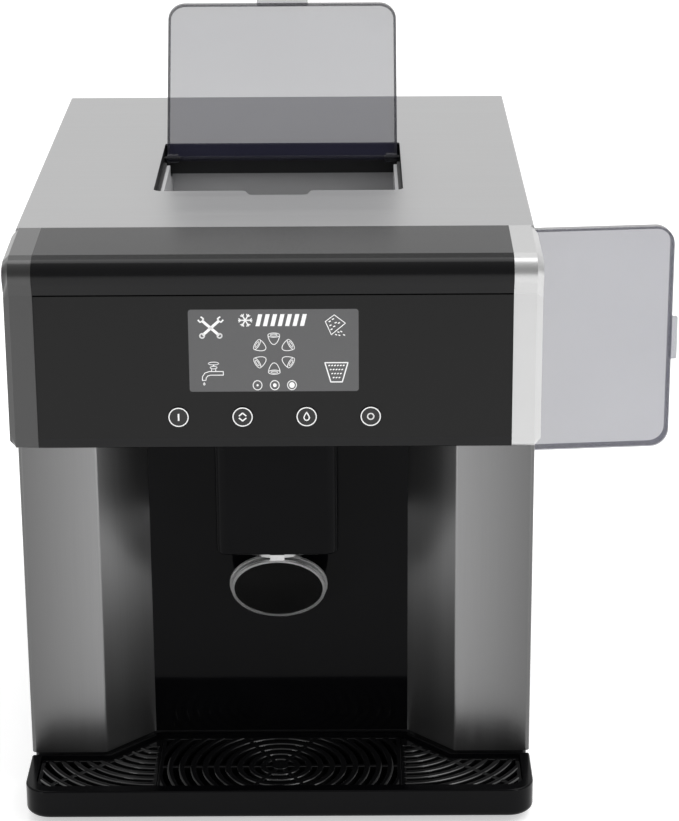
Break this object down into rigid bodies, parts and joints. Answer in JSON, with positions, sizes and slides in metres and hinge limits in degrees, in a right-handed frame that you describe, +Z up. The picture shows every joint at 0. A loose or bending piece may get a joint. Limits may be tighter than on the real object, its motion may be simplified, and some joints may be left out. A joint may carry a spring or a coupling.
{
  "type": "countertop ice maker",
  "caption": "Countertop ice maker with a stainless cabinet, black control head, water spout with paddle, drip tray and hinged smoked lids on its top and side.",
  "frame": {"origin": "centre of the cabinet's footprint, on the surface that the feet stand on", "axes": "+X to the user's right, +Y to the rear, +Z up; the control head faces -Y"},
  "size_m": [0.4684, 0.524, 0.5129],
  "materials": {
    "steel": "brushed stainless sheet",
    "zinc": "galvanised sheet",
    "black_gloss": "high gloss black",
    "black_matt": "fine texture black",
    "silver_plastic": "silver lacquer",
    "panel_glass": "back-printed black glass",
    "display": "grey display window",
    "board": "circuit board",
    "button_cap": "black with a pale ring",
    "chrome": "polished chrome",
    "smoked": "smoked clear plastic",
    "pin_steel": "ground pins and screws",
    "rubber": "soft black rubber",
    "liner_grey": "pale food-safe plastic",
    "foam": "rigid foam",
    "nickel": "nickel-plated copper",
    "silicone": "milky silicone",
    "pump_plastic": "white plastic",
    "compressor_paint": "black enamel",
    "fin_aluminium": "thin fins",
    "copper": "copper pipe"
  },
  "bodies": {
    "cabinet": {"base_pan": "black_matt", "rubber_feet": "rubber", "right_column": "steel", "left_column": "steel", "niche_wall": "black_gloss", "left_side_panel": "steel", "right_side_panel": "steel", "top_panel": "steel", "rear_panel": "zinc", "cabinet_screws": "pin_steel", "head_housing": "black_gloss", "control_glass": "panel_glass", "display_window": "display", "display_board": "board", "head_bottom_trim": "black_gloss", "right_end_cap": "silver_plastic", "left_end_cap": "silver_plastic", "spout_housing": "black_gloss", "spout_collar": "chrome", "water_nozzle": "chrome", "paddle_switch": "black_matt", "top_collar": "black_matt", "side_collar": "black_matt", "hinge_pins": "pin_steel", "inner_liner": "liner_grey", "insulation": "foam", "support_shelf": "zinc", "ice_slide": "liner_grey", "evaporator": "nickel", "tray_motor": "black_matt", "fill_bay": "liner_grey", "water_tank": "liner_grey", "water_pumps": "pump_plastic", "water_tubes": "silicone", "drain_spigot": "pump_plastic", "compressor": "compressor_paint", "compressor_grommets": "rubber", "condenser": "fin_aluminium", "fan_shroud": "black_matt", "fan_motor": "black_matt", "filter_drier": "copper", "refrigerant_pipes": "copper", "main_board": "board", "power_inlet": "black_matt"},
    "power_on_button": {"power_on_button": "button_cap"},
    "select_button": {"select_button": "button_cap"},
    "water_button": {"water_button": "button_cap"},
    "power_off_button": {"power_off_button": "button_cap"},
    "paddle": {"paddle_plate": "black_gloss", "paddle_rims": "chrome", "paddle_arm": "black_matt"},
    "drip_tray": {"drip_tray": "black_gloss", "wing_grilles": "black_gloss"},
    "centre_grille": {"centre_grille": "black_gloss"},
    "top_lid": {"top_lid": "smoked"},
    "side_lid": {"side_lid": "smoked"},
    "ice_basket": {"ice_basket": "liner_grey"},
    "water_tray": {"water_tray": "liner_grey"},
    "fan": {"fan_blades": "black_matt"},
    "drain_plug": {"drain_plug": "rubber"}
  },
  "joints": [
    {"name": "power_on_press", "type": "slide", "parent": "cabinet", "child": "power_on_button", "axis": [0, 1, 0], "range_m": [0, 0.001], "stiffness_N_per_m": 600, "springref_m": -0.0012},
    {"name": "select_press", "type": "slide", "parent": "cabinet", "child": "select_button", "axis": [0, 1, 0], "range_m": [0, 0.001], "stiffness_N_per_m": 600, "springref_m": -0.0012},
    {"name": "water_press", "type": "slide", "parent": "cabinet", "child": "water_button", "axis": [0, 1, 0], "range_m": [0, 0.001], "stiffness_N_per_m": 600, "springref_m": -0.0012},
    {"name": "power_off_press", "type": "slide", "parent": "cabinet", "child": "power_off_button", "axis": [0, 1, 0], "range_m": [0, 0.001], "stiffness_N_per_m": 600, "springref_m": -0.0012},
    {"name": "paddle_push", "type": "hinge", "parent": "cabinet", "child": "paddle", "pos_m": [0, -0.204, 0.203], "axis": [1, 0, 0], "range_deg": [0, 4], "stiffness_Nm_per_rad": 0.08, "springref_deg": -28.65},
    {"name": "tray_slide", "type": "slide", "parent": "cabinet", "child": "drip_tray", "axis": [0, -1, 0], "range_m": [0, 0.08]},
    {"name": "grille_lift", "type": "slide", "parent": "drip_tray", "child": "centre_grille", "axis": [0, 0, 1], "range_m": [0, 0.025]},
    {"name": "top_lid_hinge", "type": "hinge", "parent": "cabinet", "child": "top_lid", "pos_m": [0, 0.046, 0.401], "axis": [1, 0, 0], "range_deg": [0, 120]},
    {"name": "side_lid_hinge", "type": "hinge", "parent": "cabinet", "child": "side_lid", "pos_m": [0.1765, -0.151, 0.315], "axis": [0, 0, 1], "range_deg": [0, 85]},
    {"name": "basket_lift", "type": "slide", "parent": "cabinet", "child": "ice_basket", "axis": [0, 0, 1], "range_m": [0, 0.06]},
    {"name": "water_tray_tip", "type": "hinge", "parent": "cabinet", "child": "water_tray", "pos_m": [0, 0.034, 0.338], "axis": [1, 0, 0], "range_deg": [0, 60]},
    {"name": "fan_spin", "type": "hinge", "parent": "cabinet", "child": "fan", "pos_m": [0.088, 0.186, 0.1205], "axis": [0, 1, 0], "continuous": true},
    {"name": "drain_plug_pull", "type": "slide", "parent": "cabinet", "child": "drain_plug", "axis": [0, 1, 0], "range_m": [0, 0.025]}
  ]
}
